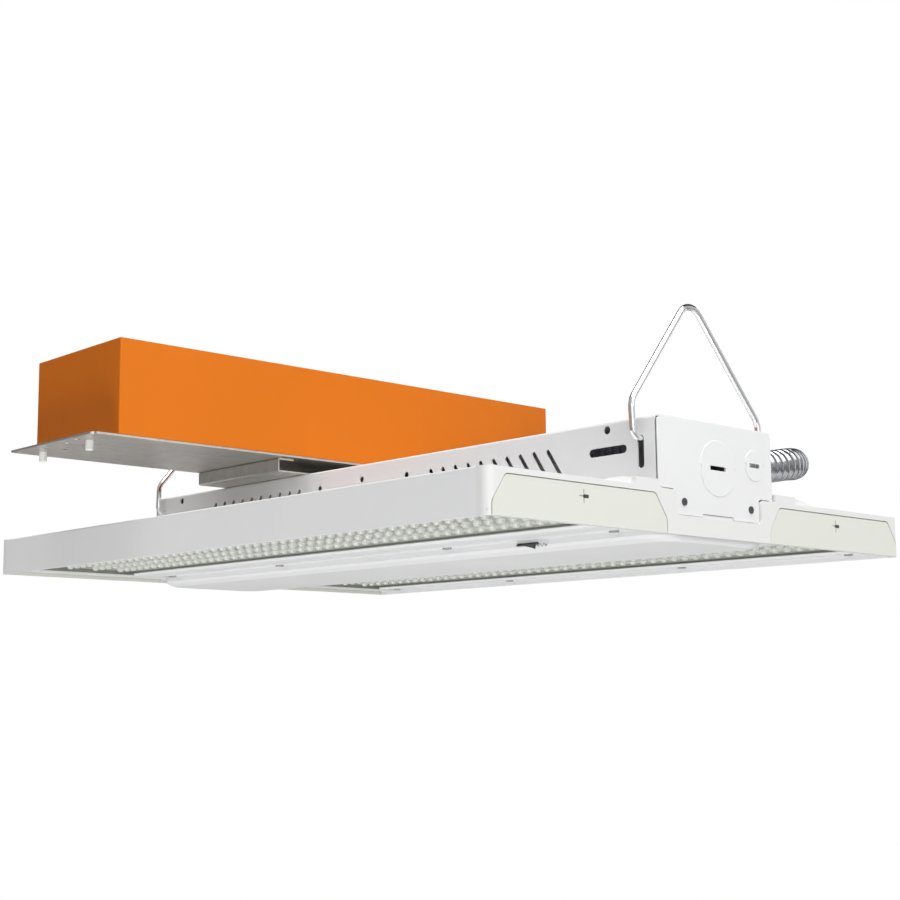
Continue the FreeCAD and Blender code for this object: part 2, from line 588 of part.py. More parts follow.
def end_plate():
    """Stepped plate with two knockouts, a top tab and a locating tab folded in at its foot."""
    back = PLATE_X - PLATE_SHEET
    half = plate_corners() + [(NOTCH_HALF_Y, PLATE_FOOT_Z, 0),
                              (NOTCH_HALF_Y, PLATE_FOOT_Z + NOTCH_HEIGHT, 0)]
    plate = mirrored_outline(half, on_x(back)).extrude(V(PLATE_SHEET, 0, 0))
    plate = plate.makeFillet(PLATE_SHEET * 0.4, [e for e in plate.Edges if e.BoundBox.XMin > PLATE_X - 0.01
                                                 and e.BoundBox.ZMax > PLATE_FOOT_Z + 3])
    locating = box(back - 5, back + 0.5, -NOTCH_HALF_Y + 0.5, NOTCH_HALF_Y - 0.5,
                   PLATE_FOOT_Z + NOTCH_HEIGHT, PLATE_FOOT_Z + NOTCH_HEIGHT + PLATE_SHEET)
    top = CHANNEL_TOP - CHANNEL_SHEET
    tab = box(back - 8, back + 0.5, -CHANNEL_HALF_Y + 6, CHANNEL_HALF_Y - 6, top - PLATE_SHEET, top)
    relief = [cyl(1.1, 4, V(back - 1, s * (CHANNEL_HALF_Y - 0.6), PLATE_TOP - 1.6), V(1, 0, 0))
              for s in (-1, 1)]
    holes = [cyl(1.7, 4, V(back - 1, s * PLATE_SCREW[0], PLATE_SCREW[1]), V(1, 0, 0)) for s in (-1, 1)]
    discs = [knockout(y, z, radius) for y, z, radius, _ in KNOCKOUTS]
    pry = [box(back - 1, back + 4, y - length / 2, y + length / 2,
               z - PRY_SLOT_W / 2, z + PRY_SLOT_W / 2) for y, z, _, length in KNOCKOUTS]
    return plate.fuse([locating, tab] + discs).cut(relief + holes + pry)


def plate_screws():
    return grouped([screw(V(PLATE_X, s * PLATE_SCREW[0], PLATE_SCREW[1]), V(1, 0, 0), 2.6, 0.7, 1.55, 6.0)
                    for s in (-1, 1)])


# ------------------------------------------------------------------ cover

def rounded_wire(half_x, half_y, radius, z):
    corners = [(half_x, half_y, radius), (-half_x, half_y, radius),
               (-half_x, -half_y, radius), (half_x, -half_y, radius)]
    return outline(corners, on_z(z)).OuterWire


def cover_mass(inset, lift):
    """Closed form of the cover: flat bottom, two slopes and an upright rim."""
    levels = ((COVER_FLAT, 0.0), (COVER_SHOULDER, COVER_DROP / 2), (COVER_RIM, COVER_DROP),
              (COVER_RIM, GROOVE_Z + COVER_SHEET))
    wires = [rounded_wire(x - inset, y - inset, radius - inset, z + lift)
             for (x, y, radius), z in levels]
    return Part.makeLoft(wires, True, True)


def wireway_cover():
    """Pressed pan; each long side has a groove for its screws and a raised outer bead."""
    top = GROOVE_Z + COVER_SHEET
    shell = cover_mass(0.0, 0.0).cut(cover_mass(COVER_SHEET, COVER_SHEET))
    shell = shell.cut(box(-HALF_X, HALF_X, -COVER_FLANGE_HALF_Y, COVER_FLANGE_HALF_Y, top, top + 2))
    points = [(COVER_FLANGE_HALF_Y, FLANGE_Z), (COVER_GROOVE_Y[1], FLANGE_Z),
              (COVER_GROOVE_Y[0], GROOVE_Z), (COVER_RIM[1] - COVER_SHEET / 2, GROOVE_Z)]
    flange = at_x(folded(points, COVER_SHEET, 2 * COVER_FLANGE_HALF_X, 0.9), -COVER_FLANGE_HALF_X)
    pan = shell.fuse([flange, mirror_y(flange)])
    holes = [cyl(HOLE_R, 3, V(x, s * COVER_SCREW_Y, GROOVE_Z - 1), V(0, 0, 1))
             for x in FASTENER_X for s in (-1, 1)]
    latch_hole = box(LATCH_X[0] - 1, LATCH_X[1] + 1, -COVER_RIM[1] - 1, -COVER_RIM[1] + 2,
                     WING_Z + 0.6, WING_Z + 2.4)
    x, y, length, width = LATCH_SLOT
    finger_slot = obround(length, width, on_z(FLANGE_Z - 1), 0, (x, -y)).extrude(V(0, 0, 4))
    return pan.cut(holes + [latch_hole, finger_slot])


def cover_latch():
    """Leaf spring held inside the cover's rim; outside it tapers along an arc into a tongue."""
    inside = COVER_SHEET - COVER_RIM[1]
    left, right = LATCH_X
    points = [(inside, FLANGE_Z + 0.6), (inside, WING_Z + 1.2), (inside - 2.8, WING_Z + 1.2),
              (inside - 3.6, WING_Z - 2.8)]
    leaf = at_x(folded(points, -0.5, right - left, 0.8), left)
    place = on_y(inside - 8)
    arc = Part.Arc(place(left - 0.5, WING_Z + 1.0), place((left + right) / 2 + 1, WING_Z - 0.4),
                   place(right + 0.5, WING_Z - 2.9)).toShape()
    corners = [place(right + 0.5, WING_Z - 2.9), place(right + 0.5, WING_Z - 6),
               place(left - 0.5, WING_Z - 6), place(left - 0.5, WING_Z + 1.0)]
    below = Part.Face(Part.Wire([arc] + Part.makePolygon(corners).Edges)).extrude(V(0, 7, 0))
    return leaf.cut(below)


def cover_screws():
    return grouped([screw(V(x, s * COVER_SCREW_Y, GROOVE_Z), V(0, 0, -1), 3.4, 1.5, 1.9, 5.0)
                    for x in FASTENER_X for s in (-1, 1)])


def lens_screws():
    return grouped([screw(V(x, s * LENS_SCREW_Y, GROOVE_Z), V(0, 0, -1), 3.4, 1.5, 1.9, 5.5)
                    for x in FASTENER_X for s in (-1, 1)])


# ------------------------------------------------------------------ inside the channel

def led_driver():
    """Finned aluminium driver case with end flanges, hung under the channel's top."""
    top = CHANNEL_TOP - CHANNEL_SHEET
    near, far, half, depth = DRIVER
    pitch, thick, height = FIN
    start, end = near + DRIVER_FOOT, far - DRIVER_FOOT
    case = box(start, end, -half, half, top - depth, top)
    case = case.makeFillet(3.0, [e for e in case.Edges if e.BoundBox.XLength > 100
                                 and e.BoundBox.ZMax < top - 1])
    fins = [box(start + pitch, end - pitch, i * pitch - thick / 2, i * pitch + thick / 2,
                top - depth - height, top - depth + 1) for i in range(-3, 4)]
    feet = [box(near, start + 1, -20, 20, top - 2, top), box(end - 1, far, -20, 20, top - 2, top)]
    return case.fuse(fins + feet)


def terminal_block():
    """Supply terminal block under the channel's top, ribbed on its side and on its end."""
    top = CHANNEL_TOP - CHANNEL_SHEET
    left, right = TERMINAL_X
    front, back = TERMINAL_Y
    body = box(left, right, front, back, TERMINAL_Z, top)
    pitch, thick, height = TERMINAL_SIDE_RIB
    ribs = [box(x, x + thick, front - height, front + 1, TERMINAL_Z, top - 1)
            for x in spaced(left, right - thick, pitch)]
    pitch, thick, height = TERMINAL_END_RIB
    ribs += [box(right - 1, right + height, y, y + thick, TERMINAL_Z + 2, top - 1)
             for y in spaced(-8.0, back - thick, pitch)]
    return body.fuse(ribs)


# ------------------------------------------------------------------ hooks

def hook():
    """V-hook bent from one wire; its two ends pass in through the channel's slots."""
    half = [V(0, -HOOK_END_Y, HOOK_AXIS_Z + HOOK_END_RISE), V(0, -HOOK_END_Y, HOOK_AXIS_Z),
            V(0, -HOOK_LEG_Y, HOOK_AXIS_Z), V(0, -HOOK_LEG_Y, HOOK_SHOULDER_Z)]
    points = half + [V(0, 0, HOOK_VERTEX_Z)] + [V(p.x, -p.y, p.z) for p in reversed(half)]
    inner, foot, shoulder, peak = HOOK_BENDS
    radii = [inner, foot, shoulder, peak, shoulder, foot, inner]
    wire, _ = rod(points, radii, WIRE_D)
    wire = wire.rotated(V(0, 0, HOOK_AXIS_Z), V(0, 1, 0), -HOOK_LEAN)
    return at_x(wire, HOOK_X)


# ------------------------------------------------------------------ battery pack

def bracket_spots(y):
    """Screw places near the bracket's four corners, at y either side of the middle."""
    return [(x, s * y) for x in (BRACKET_X[0] + 20, BRACKET_X[1] - 20) for s in (-1, 1)]


def battery_bracket():
    """Open C of sheet that stands across the channel and carries the tray on its inturned lips."""
    low = CHANNEL_TOP
    lip = BRACKET_HALF_Y - BRACKET_LIP
    points = [(-lip, TRAY_Z), (-BRACKET_HALF_Y, TRAY_Z), (-BRACKET_HALF_Y, low),
              (BRACKET_HALF_Y, low), (BRACKET_HALF_Y, TRAY_Z), (lip, TRAY_Z)]
    body = at_x(folded(points, -BRACKET_SHEET, BRACKET_X[1] - BRACKET_X[0], 1.4), BRACKET_X[0])
    left, right, round_y, radius = BRACKET_ROUND
    holes = [cyl(radius, 4, V(x, s * round_y, low - 1), V(0, 0, 1))
             for x in (BRACKET_X[0] + left, BRACKET_X[1] - right) for s in (-1, 1)]
    holes += [cyl(BRACKET_SCREW_R, 4, V(x, y, low - 1), V(0, 0, 1))
              for x, y in bracket_spots(BRACKET_SCREW_Y)]
    holes += [cyl(BRACKET_SCREW_R, 4, V(x, y, TRAY_Z - 3), V(0, 0, 1))
              for x, y in bracket_spots(TRAY_SCREW_Y)]
    return body.cut(holes)


def battery_tray():
    """Flat tray under the pack, longer than it, with mounting slots and pegs at its ends."""
    front, back = PACK_Y[0] - TRAY_OVERHANG, PACK_Y[1] + TRAY_OVERHANG
    corners = [(PACK_X[0], front, 1.5), (PACK_X[1], front, 1.5), (PACK_X[1], back, 1.5),
               (PACK_X[0], back, 1.5)]
    sheet = outline(corners, on_z(TRAY_Z)).extrude(V(0, 0, TRAY_SHEET))
    middle = (PACK_X[0] + PACK_X[1]) / 2
    cutters = []
    for end_y, hand in ((front, 1), (back, -1)):
        for x, y in TRAY_SLOTS:
            centre = (middle + x, end_y + hand * y)
            cutters.append(obround(*TRAY_SLOT, on_z(TRAY_Z - 1), 0, centre).extrude(V(0, 0, 4)))
    cutters += [cyl(PEG_D / 2 - 0.05, 4, V(x, y, TRAY_Z - 1), V(0, 0, 1)) for x, y in PEG_SPOTS]
    cutters += [cyl(BRACKET_SCREW_R, 4, V(x, y, TRAY_Z - 1), V(0, 0, 1))
                for x, y in bracket_spots(TRAY_SCREW_Y)]
    return sheet.cut(cutters)


def tray_pegs():
    """Round plastic locating pegs, pressed up into the tray."""
    pegs = []
    for x, y in PEG_SPOTS:
        stem = cyl(PEG_D / 2, PEG_DROP + TRAY_SHEET, V(x, y, PACK_Z), V(0, 0, -1))
        pegs.append(stem.makeFillet(0.8, [e for e in stem.Edges if e.BoundBox.ZMax < TRAY_Z - 1]))
    return grouped(pegs)


def battery_pack():
    """Sealed sheet-metal battery case, closed all round."""
    case = box(PACK_X[0], PACK_X[1], PACK_Y[0], PACK_Y[1], PACK_Z, PACK_Z + PACK_HEIGHT)
    return case.makeFillet(0.8, case.Edges)


def bracket_screws():
    """Four screws hold the bracket to the channel and four hold the tray to the bracket."""
    low = CHANNEL_TOP + BRACKET_SHEET
    under = TRAY_Z - BRACKET_SHEET
    shank = BRACKET_SCREW_R - 0.05
    screws = [screw(V(x, y, low), V(0, 0, 1), 3.6, 2.0, shank, 5.5)
              for x, y in bracket_spots(BRACKET_SCREW_Y)]
    screws += [screw(V(x, y, under), V(0, 0, -1), 3.6, 2.0, shank, BRACKET_SHEET + TRAY_SHEET - 0.2)
               for x, y in bracket_spots(TRAY_SCREW_Y)]
    return grouped(screws)


# ------------------------------------------------------------------ conduit

def connector_body():
    """Straight squeeze connector along +X from a wall at x = 0; the tube ends in its mouth."""
    end = CONNECTOR_LENGTH
    profile = [(0, 7.5), (0, 14.6), (3.2, 14.6), (4.4, 13.4), (end - 6, 13.4), (end - 5, 14.4),
               (end + 5.5, 14.4), (end + 5.5, MOUTH_R), (end, MOUTH_R), (end, 7.5), (0, 7.5)]
    wire = Part.makePolygon([V(x, 0, r) for x, r in profile])
    turned = Part.Face(wire).revolve(V(0, 0, 0), V(1, 0, 0), 360)
    lug = box(end - 10, end + 4, -4.5, 4.5, 12.5, 18.5)
    lug = lug.makeFillet(1.2, [e for e in lug.Edges if e.BoundBox.ZLength > 3])
    head = cyl(2.6, 2.0, V(end - 3, -4.5, 16.0), V(0, -1, 0))
    return turned.fuse([lug, head])


def channel_connector():
    """Connector on the channel's back, with the threaded end that passes into it."""
    thread = cyl(CONDUIT_HOLE_R - 0.05, 9.5, V(-9.0, 0, 0), V(1, 0, 0))
    thread = thread.cut(cyl(7.5, 11, V(-9.5, 0, 0), V(1, 0, 0)))
    body = connector_body().fuse(thread)
    return body.rotated(V(0, 0, 0), V(0, 0, 1), 90).translated(CONDUIT_EXIT)


def pack_connector():
    return connector_body().translated(PACK_ENTRY)


def conduit_locknut():
    """Thin six-lobed nut that clamps the connector inside the channel."""
    wall = CHANNEL_HALF_Y - CHANNEL_SHEET
    lobes = [(14.0 * math.cos(k * math.pi / 6), 14.0 * math.sin(k * math.pi / 6)) for k in range(12)]
    corners = [(a * (1.0 if k % 2 else 0.92), b * (1.0 if k % 2 else 0.92), 1.0)
               for k, (a, b) in enumerate(lobes)]
    nut = outline([(CONDUIT_EXIT.x + a, CONDUIT_EXIT.z + b, r) for a, b, r in corners],
                  on_y(wall - 3.2)).extrude(V(0, 3.2, 0))
    bore = cyl(CONDUIT_HOLE_R, 6, V(CONDUIT_EXIT.x, wall - 5, CONDUIT_EXIT.z), V(0, 1, 0))
    return nut.cut(bore)


def flex_conduit():
    """Plain tube along the conduit's route, each bend as wide as its runs allow."""
    radii = []
    for i in range(1, len(CONDUIT_ROUTE) - 1):
        before = CONDUIT_ROUTE[i] - CONDUIT_ROUTE[i - 1]
        after = CONDUIT_ROUTE[i + 1] - CONDUIT_ROUTE[i]
        turn = before.getAngle(after)
        radii.append(0.45 * min(before.Length, after.Length) / math.tan(turn / 2))
    tube, length = rod(CONDUIT_ROUTE, radii, CONDUIT_D)
    section = math.pi * CONDUIT_D ** 2 / 4
    print("conduit radii", [round(r, 1) for r in radii])
    print("conduit length %.1f, volume %.0f of %.0f" % (length, tube.Volume, section * length))
    return tube


def main():
    os.makedirs("parts", exist_ok=True)
    rail, lens, tray, boards = inner_rail(), lens_panel(), led_tray(), led_boards()
    cap, plate, screws, hanger = end_cap(), end_plate(), plate_screws(), hook()
    write("wing_housing", wing_housing())
    write("driver_channel", driver_channel())
    write("wireway_cover", wireway_cover())
    write("cover_latch", cover_latch())
    for name, back in (("inner_rail", rail), ("lens_panel", lens), ("led_tray", tray),
                       ("led_boards", boards)):
        write(name + "_back", back)
        write(name + "_front", mirror_y(back))
    for name, shape in (("end_cap", cap), ("end_plate", plate), ("end_plate_screws", screws)):
        write(name + "_right", shape)
        write(name + "_left", mirror_x(shape))
    for side, where in ((-1, "front"), (1, "back")):
        write("end_panel_right_" + where, end_panel(side))
        write("end_panel_left_" + where, mirror_x(end_panel(side)))
    write("end_panel_catches", panel_catches())
    write("cover_screws", cover_screws())
    write("lens_screws", lens_screws())
    write("led_driver_right", led_driver())
    write("led_driver_left", mirror_x(led_driver()))
    write("terminal_block", terminal_block())
    write("v_hook_right", hanger)
    write("v_hook_left", mirror_x(hanger))
    write("battery_bracket", battery_bracket())
    write("battery_tray", battery_tray())
    write("battery_tray_pegs", tray_pegs())
    write("battery_pack", battery_pack())
    write("battery_screws", bracket_screws())
    write("conduit_connector_channel", channel_connector())
    write("conduit_connector_pack", pack_connector())
    write("conduit_locknut", conduit_locknut())
    write("flex_conduit", flex_conduit())


main()
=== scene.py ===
"""Looks of a linear high bay light with an emergency battery, built on its CAD frame.

The CAD nodes keep their shapes and get materials. New meshes replace the two clear lens
panels and the flexible conduit, and add the light emitting chips and the wire of the
cover's latch. Lengths are in metres unless a name ends in _mm.
"""

import json
import logging
import math
from dataclasses import dataclass
from enum import Enum
from typing import Any

import bmesh
import bpy
from mathutils import Matrix, Vector

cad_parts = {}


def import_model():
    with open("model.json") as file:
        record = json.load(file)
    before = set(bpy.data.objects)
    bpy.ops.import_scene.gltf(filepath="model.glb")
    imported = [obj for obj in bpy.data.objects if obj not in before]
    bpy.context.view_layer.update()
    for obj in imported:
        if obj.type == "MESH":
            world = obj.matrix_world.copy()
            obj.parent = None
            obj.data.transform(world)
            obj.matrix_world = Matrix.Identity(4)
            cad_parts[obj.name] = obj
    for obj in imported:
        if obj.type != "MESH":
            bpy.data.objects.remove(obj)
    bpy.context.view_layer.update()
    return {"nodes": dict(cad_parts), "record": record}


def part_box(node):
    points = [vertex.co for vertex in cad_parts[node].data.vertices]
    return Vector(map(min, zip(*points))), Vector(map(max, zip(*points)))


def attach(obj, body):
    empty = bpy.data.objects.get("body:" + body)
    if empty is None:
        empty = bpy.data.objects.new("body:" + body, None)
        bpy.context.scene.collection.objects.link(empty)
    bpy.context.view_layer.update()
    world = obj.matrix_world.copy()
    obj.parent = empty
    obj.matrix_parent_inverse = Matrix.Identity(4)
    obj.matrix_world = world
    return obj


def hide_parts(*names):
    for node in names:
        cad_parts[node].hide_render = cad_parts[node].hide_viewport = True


LOG = logging.getLogger("high_bay")
MM = 0.001
WHITE = (1.0, 1.0, 1.0, 1.0)

# The sRGB curve: a straight line up to the knee, a power above it.
SRGB_KNEE = 0.04045
SRGB_SLOPE = 12.92
SRGB_OFFSET = 0.055
SRGB_POWER = 2.4

# A noise texture's values lie mostly between these two.
NOISE_LOW = 0.3
NOISE_HIGH = 0.7

BEVEL_SAMPLES = 6


# ------------------------------------------------------------------ nodes and colours

def srgb(code: str) -> tuple[float, float, float, float]:
    """Turns an sRGB hex colour into the linear colour that a shader takes.

    Args:
        code: six hex digits, with no mark before them.

    Returns:
        Linear red, green, blue and an alpha of 1.
    """
    channels = [int(code[i:i + 2], 16) / 255 for i in (0, 2, 4)]
    linear = [c / SRGB_SLOPE if c <= SRGB_KNEE
              else ((c + SRGB_OFFSET) / (1 + SRGB_OFFSET)) ** SRGB_POWER
              for c in channels]
    return (linear[0], linear[1], linear[2], 1.0)


def add_node(tree: bpy.types.NodeTree, kind: str, inputs: dict[Any, Any] | None = None,
             **settings: Any) -> bpy.types.Node:
    """Adds a node, with its settings, its values and its links.

    Args:
        tree: the node tree that gets the node.
        kind: the node's Blender type.
        inputs: for each input, a value, or the output socket that feeds it.
        settings: the node's own properties.

    Returns:
        The new node.
    """
    node = tree.nodes.new(kind)
    for name, value in settings.items():
        setattr(node, name, value)
    for name, value in (inputs or {}).items():
        if isinstance(value, bpy.types.NodeSocket):
            tree.links.new(value, node.inputs[name])
        else:
            node.inputs[name].default_value = value
    return node


# ------------------------------------------------------------------ finishes

@dataclass(frozen=True)
class Finish:
    """A surface, with what all finishes share.

    Attributes:
        name: what the surface is made of, which names the material.
        colour: its sRGB colour.
        roughness: how dull it is.
        metallic: 1 for bare metal.
        ior: the index of refraction of what isn't bare metal.
        edge_mm: radius of the broken edges that catch the light.
    """

    name: str
    colour: str
    roughness: float
    metallic: float = 0.0
    ior: float = 1.5
    edge_mm: float = 0.35

    def material(self) -> bpy.types.Material:
        """Builds the material.

        Returns:
            The finished material, ready for a mesh.
        """
        material = bpy.data.materials.new(self.name)
        material.use_nodes = True
        tree = material.node_tree
        tree.nodes.clear()
        shader = add_node(tree, "ShaderNodeBsdfPrincipled", {
            "Base Color": srgb(self.colour), "Roughness": self.roughness,
            "Metallic": self.metallic, "IOR": self.ior})
        add_node(tree, "ShaderNodeOutputMaterial", {"Surface": shader.outputs["BSDF"]})
        place = add_node(tree, "ShaderNodeTexCoord").outputs["Object"]
        self.surface(tree, shader, place)
        return material

    def surface(self, tree: bpy.types.NodeTree, shader: bpy.types.Node,
                place: bpy.types.NodeSocket) -> None:
        """Breaks the edges, which is all that a plain finish has."""
        tree.links.new(self.edges(tree), shader.inputs["Normal"])

    def edges(self, tree: bpy.types.NodeTree) -> bpy.types.NodeSocket:
        """Gives a normal that is rounded where two faces meet."""
        radius = {"Radius": self.edge_mm * MM}
        return add_node(tree, "ShaderNodeBevel", radius,
                        samples=BEVEL_SAMPLES).outputs["Normal"]

    def noise(self, tree: bpy.types.NodeTree, place: bpy.types.NodeSocket,
              size_mm: float, detail: float) -> bpy.types.NodeSocket:
        """Adds a noise whose lumps have a real size.

        Args:
            tree: the material's node tree.
            place: the coordinates that the noise reads.
            size_mm: distance from one lump to the next.
            detail: how many finer layers lie on the lumps.

        Returns:
            The noise's value, around 0.5.
        """
        texture = add_node(tree, "ShaderNodeTexNoise", {
            "Vector": place, "Scale": 1 / (size_mm * MM), "Detail": detail})
        return texture.outputs["Fac"]

    def spread(self, tree: bpy.types.NodeTree, value: bpy.types.NodeSocket,
               low: float, high: float) -> bpy.types.NodeSocket:
        """Maps a noise onto a range.

        Args:
            tree: the material's node tree.
            value: the noise.
            low: result where the noise is low.
            high: result where the noise is high.

        Returns:
            The mapped value.
        """
        node = add_node(tree, "ShaderNodeMapRange", {
            "Value": value, "From Min": NOISE_LOW, "From Max": NOISE_HIGH,
            "To Min": low, "To Max": high})
        return node.outputs["Result"]

    def vary_gloss(self, tree: bpy.types.NodeTree, shader: bpy.types.Node,
                   value: bpy.types.NodeSocket, span: tuple[float, float]) -> None:
        """Lets the roughness follow a noise.

        Args:
            tree: the material's node tree.
            shader: the node whose roughness is set.
            value: the noise.
            span: what the lowest and the highest noise add to the roughness.
        """
        low, high = (self.roughness + change for change in span)
        tree.links.new(self.spread(tree, value, low, high), shader.inputs["Roughness"])

    def tint(self, tree: bpy.types.NodeTree, value: bpy.types.NodeSocket,
             other: str) -> bpy.types.NodeSocket:
        """Blends the finish's colour towards another one.

        Args:
            tree: the material's node tree.
            value: 0 for the finish's own colour, 1 for the other.
            other: the other sRGB colour.

        Returns:
            The blended colour.
        """
        mix = add_node(tree, "ShaderNodeMix", {
            "Factor": value, "A": srgb(self.colour), "B": srgb(other)},
            data_type="RGBA")
        return mix.outputs["Result"]

    def bump(self, tree: bpy.types.NodeTree, height: bpy.types.NodeSocket,
             height_mm: float) -> bpy.types.NodeSocket:
        """Raises a pattern on the broken edges' normal.

        Args:
            tree: the material's node tree.
            height: the pattern, from 0 to 1.
            height_mm: how high 1 stands.

        Returns:
            The new normal.
        """
        node = add_node(tree, "ShaderNodeBump", {
            "Strength": 1.0, "Distance": height_mm * MM, "Height": height,
            "Normal": self.edges(tree)})
        return node.outputs["Normal"]


@dataclass(frozen=True)
class PowderCoat(Finish):
    """Polyester powder coat on steel: baked on, uneven like orange peel, satin.

    Attributes:
        peel_mm: distance between the lumps of the peel.
        peel_height_mm: how high they stand.
        cloud_mm: distance between places where the gloss differs.
        cloud_gloss: what such places add to the roughness, from low to high.
        handled_mm: distance between handled places.
        handled: how far their colour goes towards the shade.
        shade: the slightly duller colour that handled places take.
    """

    peel_mm: float = 1.6
    peel_height_mm: float = 0.012
    cloud_mm: float = 70.0
    cloud_gloss: tuple[float, float] = (-0.04, 0.06)
    handled_mm: float = 160.0
    handled: float = 0.35
    shade: str = "DCDDDD"

    def surface(self, tree: bpy.types.NodeTree, shader: bpy.types.Node,
                place: bpy.types.NodeSocket) -> None:
        """Adds the peel, a broad unevenness of gloss and a trace of handling.

        Args:
            tree: the material's node tree.
            shader: the node that gets the pattern.
            place: the coordinates that the pattern reads.
        """
        peel = self.noise(tree, place, self.peel_mm, detail=1.0)
        tree.links.new(self.bump(tree, peel, self.peel_height_mm),
                       shader.inputs["Normal"])
        cloud = self.noise(tree, place, self.cloud_mm, detail=3.0)
        self.vary_gloss(tree, shader, cloud, self.cloud_gloss)
        touched = self.noise(tree, place, self.handled_mm, detail=4.0)
        duller = self.spread(tree, touched, 0.0, self.handled)
        tree.links.new(self.tint(tree, duller, self.shade), shader.inputs["Base Color"])


@dataclass(frozen=True)
class MouldedPlastic(Finish):
    """Injection moulded plastic: a fine texture from the mould, soft gloss.

    Attributes:
        grain_mm: distance between the texture's grains.
        grain_height_mm: how high they stand.
        flow_mm: distance between the flow marks of the melt.
        flow_gloss: what they add to the roughness, from low to high.
    """

    grain_mm: float = 0.7
    grain_height_mm: float = 0.006
    flow_mm: float = 45.0
    flow_gloss: tuple[float, float] = (-0.03, 0.05)

    def surface(self, tree: bpy.types.NodeTree, shader: bpy.types.Node,
                place: bpy.types.NodeSocket) -> None:
        """Adds the mould's grain and slow flow marks in the gloss.

        Args:
            tree: the material's node tree.
            shader: the node that gets the pattern.
            place: the coordinates that the pattern reads.
        """
        grain = self.noise(tree, place, self.grain_mm, detail=2.0)
        tree.links.new(self.bump(tree, grain, self.grain_height_mm),
                       shader.inputs["Normal"])
        flow = self.noise(tree, place, self.flow_mm, detail=2.0)
        self.vary_gloss(tree, shader, flow, self.flow_gloss)


@dataclass(frozen=True)
class RolledSheet(Finish):
    """Galvanised or bare rolled sheet: faint spangle, rolling lines along one axis.

    Attributes:
        lines_mm: distance between rolling lines.
        line_height_mm: how high they stand.
        line_gloss: what they add to the roughness, from low to high.
        along: stretch of the lines along X, Y and Z.
        spangle_mm: width of a zinc crystal.
        spangle: how far a crystal's colour goes towards the dark one.
        dark: the darker colour between grains.
    """

    lines_mm: float = 1.1
    line_height_mm: float = 0.006
    line_gloss: tuple[float, float] = (-0.05, 0.08)
    along: tuple[float, float, float] = (1.0, 0.02, 1.0)
    spangle_mm: float = 7.0
    spangle: float = 0.6
    dark: str = "8E9296"

    def surface(self, tree: bpy.types.NodeTree, shader: bpy.types.Node,
                place: bpy.types.NodeSocket) -> None:
        """Adds spangle, rolling lines and uneven gloss.

        Args:
            tree: the material's node tree.
            shader: the node that gets the pattern.
            place: the coordinates that the pattern reads.
        """
        drawn = add_node(tree, "ShaderNodeMapping", {
            "Vector": place, "Scale": self.along})
        lines = self.noise(tree, drawn.outputs["Vector"], self.lines_mm, detail=3.0)
        tree.links.new(self.bump(tree, lines, self.line_height_mm),
                       shader.inputs["Normal"])
        crystals = add_node(tree, "ShaderNodeTexVoronoi", {
            "Vector": place, "Scale": 1 / (self.spangle_mm * MM)}, feature="F1")
        cells = add_node(tree, "ShaderNodeSeparateColor", {
            "Color": crystals.outputs["Color"]})
        mixed = add_node(tree, "ShaderNodeMath", {
            0: self.spread(tree, lines, 0.0, self.spangle), 1: cells.outputs["Red"]},
            operation="MULTIPLY")
        tree.links.new(self.tint(tree, mixed.outputs["Value"], self.dark),
                       shader.inputs["Base Color"])
        self.vary_gloss(tree, shader, lines, self.line_gloss)


@dataclass(frozen=True)
class PlatedMetal(Finish):
    """Plated wire, screws and castings: drawn or cast, with soft mottling.

    Attributes:
        mottle_mm: distance between mottles.
        mottle_gloss: what the lowest and the highest mottle multiply the roughness by.
        mottle: how far a mottle's colour goes towards the dark one.
        grain_mm: distance between the plating's grains.
        grain_height_mm: how high they stand.
        dark: the colour of duller mottles.
    """

    mottle_mm: float = 5.0
    mottle_gloss: tuple[float, float] = (0.7, 1.5)
    mottle: float = 0.5
    grain_mm: float = 0.9
    grain_height_mm: float = 0.003
    dark: str = "9A9CA0"

    def surface(self, tree: bpy.types.NodeTree, shader: bpy.types.Node,
                place: bpy.types.NodeSocket) -> None:
        """Adds mottled gloss and colour, and a fine grain.

        Args:
            tree: the material's node tree.
            shader: the node that gets the pattern.
            place: the coordinates that the pattern reads.
        """
        mottle = self.noise(tree, place, self.mottle_mm, detail=3.0)
        low, high = (self.roughness * factor for factor in self.mottle_gloss)
        tree.links.new(self.spread(tree, mottle, low, high), shader.inputs["Roughness"])
        duller = self.spread(tree, mottle, 0.0, self.mottle)
        tree.links.new(self.tint(tree, duller, self.dark), shader.inputs["Base Color"])
        grain = self.noise(tree, place, self.grain_mm, detail=2.0)
        tree.links.new(self.bump(tree, grain, self.grain_height_mm),
                       shader.inputs["Normal"])


@dataclass(frozen=True)
class ClearAcrylic(Finish):
    """Clear moulded acrylic: polished, so it mirrors the room and lets the boards show.

    Attributes:
        alpha: how much of the surface hides what is behind it.
        carried: strength of a painted glow in the sheet's own colour, which brightens
            its shaded parts.
    """

    alpha: float = 0.85
    carried: float = 0.05

    def surface(self, tree: bpy.types.NodeTree, shader: bpy.types.Node,
                place: bpy.types.NodeSocket) -> None:
        """Lets the boards show, adds a faint painted glow and breaks the edges.

        Args:
            tree: the material's node tree.
            shader: the node that gets the values.
            place: coordinates, which this finish doesn't need.
        """
        shader.inputs["Alpha"].default_value = self.alpha
        # Painted glow: the sheet emits faintly in its own colour so that its shaded
        # parts look lit, though no lamp is inside.
        shader.inputs["Emission Color"].default_value = srgb(self.colour)
        shader.inputs["Emission Strength"].default_value = self.carried
        super().surface(tree, shader, place)


